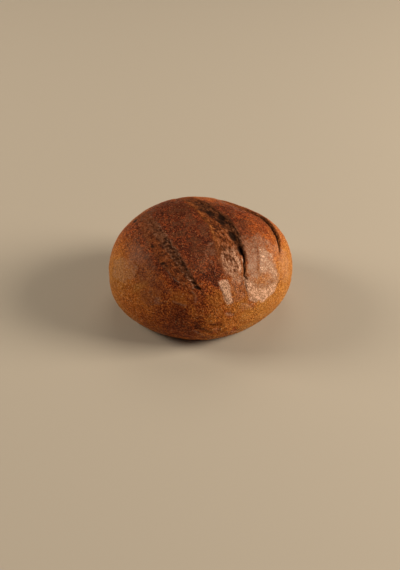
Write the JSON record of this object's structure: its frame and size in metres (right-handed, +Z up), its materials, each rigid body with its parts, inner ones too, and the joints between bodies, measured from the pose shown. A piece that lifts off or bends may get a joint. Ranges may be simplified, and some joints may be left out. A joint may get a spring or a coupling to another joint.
{
  "type": "rye bread loaf",
  "caption": "Whole round rye loaf with a dark baked crust, slashes torn open across its domed crown and a flat sole.",
  "frame": {"origin": "bottom centre of the loaf's bounds, in the plane of its flat sole", "axes": "+Z up out of the crown, +X along the loaf's longer side towards its fuller end"},
  "size_m": [0.2088, 0.184, 0.1157],
  "materials": {
    "crust": "baked crust, glazed and slightly glossy, rough where the slashes have torn"
  },
  "bodies": {
    "root": {"loaf": "crust"}
  },
  "joints": []
}
